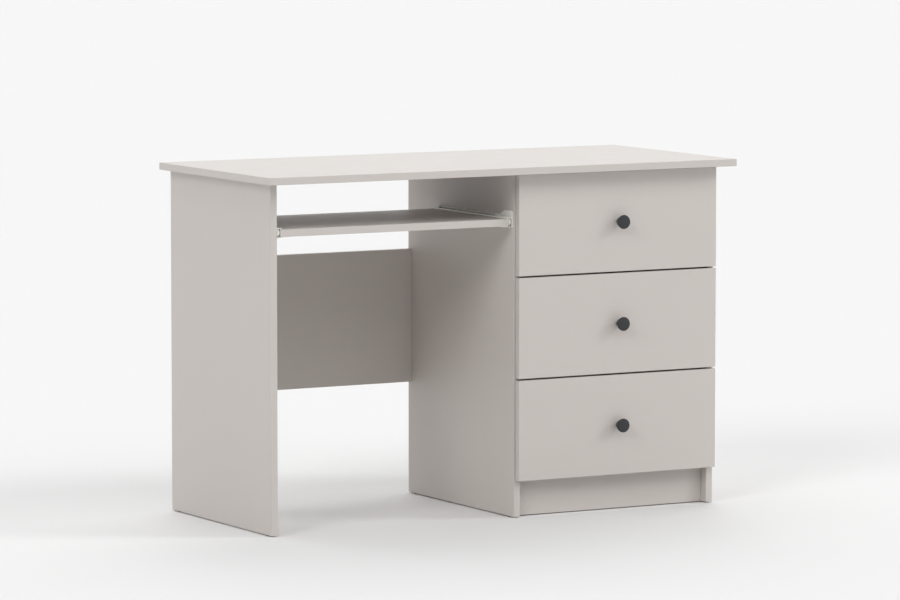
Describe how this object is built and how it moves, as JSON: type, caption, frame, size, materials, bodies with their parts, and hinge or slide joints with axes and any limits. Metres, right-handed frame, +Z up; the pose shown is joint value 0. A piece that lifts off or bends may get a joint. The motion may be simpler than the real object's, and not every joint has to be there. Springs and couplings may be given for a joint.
{
  "type": "writing desk",
  "caption": "Writing desk of laminated boards with a pedestal of roller-slide drawers on the right, a pull-out keyboard tray and a rear panel in the knee space.",
  "frame": {"origin": "middle of the footprint on the floor", "axes": "+Z up, +X towards the drawer side along the desk's width, -Y towards the person at the desk"},
  "size_m": [1.1, 0.5, 0.73],
  "materials": {
    "laminate": "matte warm greige laminate on chipboard, edges banded in the same colour",
    "drawer_board": "matte pale foil on chipboard",
    "hardboard": "smooth pale lacquered hardboard",
    "slide_epoxy": "satin cream epoxy coat on folded sheet steel",
    "roller_plastic": "off-white nylon",
    "knob_coating": "matte anthracite powder coat",
    "zinc_fittings": "bright zinc plate",
    "beech_dowels": "raw beech",
    "glide_plastic": "matte dark brown nail-on plastic"
  },
  "bodies": {
    "carcass": {"desktop": "laminate", "left_panel": "laminate", "middle_panel": "laminate", "right_panel": "laminate", "modesty_panel": "laminate", "pedestal_floor": "laminate", "plinth": "laminate", "pedestal_back": "hardboard", "floor_glides": "glide_plastic", "cam_discs": "zinc_fittings", "cam_bolts": "zinc_fittings", "dowels": "beech_dowels", "rail_screws": "zinc_fittings", "tray_rail_left": "slide_epoxy", "tray_rail_right": "slide_epoxy", "top_drawer_rail_left": "slide_epoxy", "top_drawer_rail_right": "slide_epoxy", "middle_drawer_rail_left": "slide_epoxy", "middle_drawer_rail_right": "slide_epoxy", "bottom_drawer_rail_left": "slide_epoxy", "bottom_drawer_rail_right": "slide_epoxy"},
    "tray": {"keyboard_tray": "laminate", "tray_runner_left": "slide_epoxy", "tray_runner_right": "slide_epoxy", "tray_screws": "zinc_fittings"},
    "tray_front_rollers": {"tray_front_rollers": "roller_plastic"},
    "tray_rear_rollers": {"tray_rear_rollers": "roller_plastic"},
    "top_drawer": {"top_drawer_front": "laminate", "top_drawer_side_left": "drawer_board", "top_drawer_side_right": "drawer_board", "top_drawer_back": "drawer_board", "top_drawer_bottom": "hardboard", "top_drawer_knob": "knob_coating", "top_drawer_fittings": "zinc_fittings", "top_drawer_runner_left": "slide_epoxy", "top_drawer_runner_right": "slide_epoxy"},
    "top_drawer_front_rollers": {"top_drawer_front_rollers": "roller_plastic"},
    "top_drawer_rear_rollers": {"top_drawer_rear_rollers": "roller_plastic"},
    "middle_drawer": {"middle_drawer_front": "laminate", "middle_drawer_side_left": "drawer_board", "middle_drawer_side_right": "drawer_board", "middle_drawer_back": "drawer_board", "middle_drawer_bottom": "hardboard", "middle_drawer_knob": "knob_coating", "middle_drawer_fittings": "zinc_fittings", "middle_drawer_runner_left": "slide_epoxy", "middle_drawer_runner_right": "slide_epoxy"},
    "middle_drawer_front_rollers": {"middle_drawer_front_rollers": "roller_plastic"},
    "middle_drawer_rear_rollers": {"middle_drawer_rear_rollers": "roller_plastic"},
    "bottom_drawer": {"bottom_drawer_front": "laminate", "bottom_drawer_side_left": "drawer_board", "bottom_drawer_side_right": "drawer_board", "bottom_drawer_back": "drawer_board", "bottom_drawer_bottom": "hardboard", "bottom_drawer_knob": "knob_coating", "bottom_drawer_fittings": "zinc_fittings", "bottom_drawer_runner_left": "slide_epoxy", "bottom_drawer_runner_right": "slide_epoxy"},
    "bottom_drawer_front_rollers": {"bottom_drawer_front_rollers": "roller_plastic"},
    "bottom_drawer_rear_rollers": {"bottom_drawer_rear_rollers": "roller_plastic"}
  },
  "joints": [
    {"name": "tray_slide", "type": "slide", "parent": "carcass", "child": "tray", "axis": [0, -1, 0], "range_m": [0, 0.22]},
    {"name": "tray_front_roller_spin", "type": "hinge", "parent": "carcass", "child": "tray_front_rollers", "pos_m": [-0.2345, -0.185, 0.6142], "axis": [1, 0, 0], "continuous": true},
    {"name": "tray_rear_roller_spin", "type": "hinge", "parent": "tray", "child": "tray_rear_rollers", "pos_m": [-0.2345, 0.102, 0.6156], "axis": [1, 0, 0], "continuous": true},
    {"name": "top_drawer_slide", "type": "slide", "parent": "carcass", "child": "top_drawer", "axis": [0, -1, 0], "range_m": [0, 0.3]},
    {"name": "top_drawer_front_roller_spin", "type": "hinge", "parent": "carcass", "child": "top_drawer_front_rollers", "pos_m": [0.282, -0.1875, 0.5362], "axis": [1, 0, 0], "continuous": true},
    {"name": "top_drawer_rear_roller_spin", "type": "hinge", "parent": "top_drawer", "child": "top_drawer_rear_rollers", "pos_m": [0.282, 0.187, 0.5376], "axis": [1, 0, 0], "continuous": true},
    {"name": "middle_drawer_slide", "type": "slide", "parent": "carcass", "child": "middle_drawer", "axis": [0, -1, 0], "range_m": [0, 0.3]},
    {"name": "middle_drawer_front_roller_spin", "type": "hinge", "parent": "carcass", "child": "middle_drawer_front_rollers", "pos_m": [0.282, -0.1875, 0.3237], "axis": [1, 0, 0], "continuous": true},
    {"name": "middle_drawer_rear_roller_spin", "type": "hinge", "parent": "middle_drawer", "child": "middle_drawer_rear_rollers", "pos_m": [0.282, 0.187, 0.3251], "axis": [1, 0, 0], "continuous": true},
    {"name": "bottom_drawer_slide", "type": "slide", "parent": "carcass", "child": "bottom_drawer", "axis": [0, -1, 0], "range_m": [0, 0.3]},
    {"name": "bottom_drawer_front_roller_spin", "type": "hinge", "parent": "carcass", "child": "bottom_drawer_front_rollers", "pos_m": [0.282, -0.1875, 0.1112], "axis": [1, 0, 0], "continuous": true},
    {"name": "bottom_drawer_rear_roller_spin", "type": "hinge", "parent": "bottom_drawer", "child": "bottom_drawer_rear_rollers", "pos_m": [0.282, 0.187, 0.1126], "axis": [1, 0, 0], "continuous": true}
  ],
  "couplings": [
    {"joint": "tray_front_roller_spin", "follows": "tray_slide", "rad_per_m": 117.65},
    {"joint": "tray_rear_roller_spin", "follows": "tray_slide", "rad_per_m": 95.238},
    {"joint": "top_drawer_front_roller_spin", "follows": "top_drawer_slide", "rad_per_m": 117.65},
    {"joint": "top_drawer_rear_roller_spin", "follows": "top_drawer_slide", "rad_per_m": 95.238},
    {"joint": "middle_drawer_front_roller_spin", "follows": "middle_drawer_slide", "rad_per_m": 117.65},
    {"joint": "middle_drawer_rear_roller_spin", "follows": "middle_drawer_slide", "rad_per_m": 95.238},
    {"joint": "bottom_drawer_front_roller_spin", "follows": "bottom_drawer_slide", "rad_per_m": 117.65},
    {"joint": "bottom_drawer_rear_roller_spin", "follows": "bottom_drawer_slide", "rad_per_m": 95.238}
  ]
}
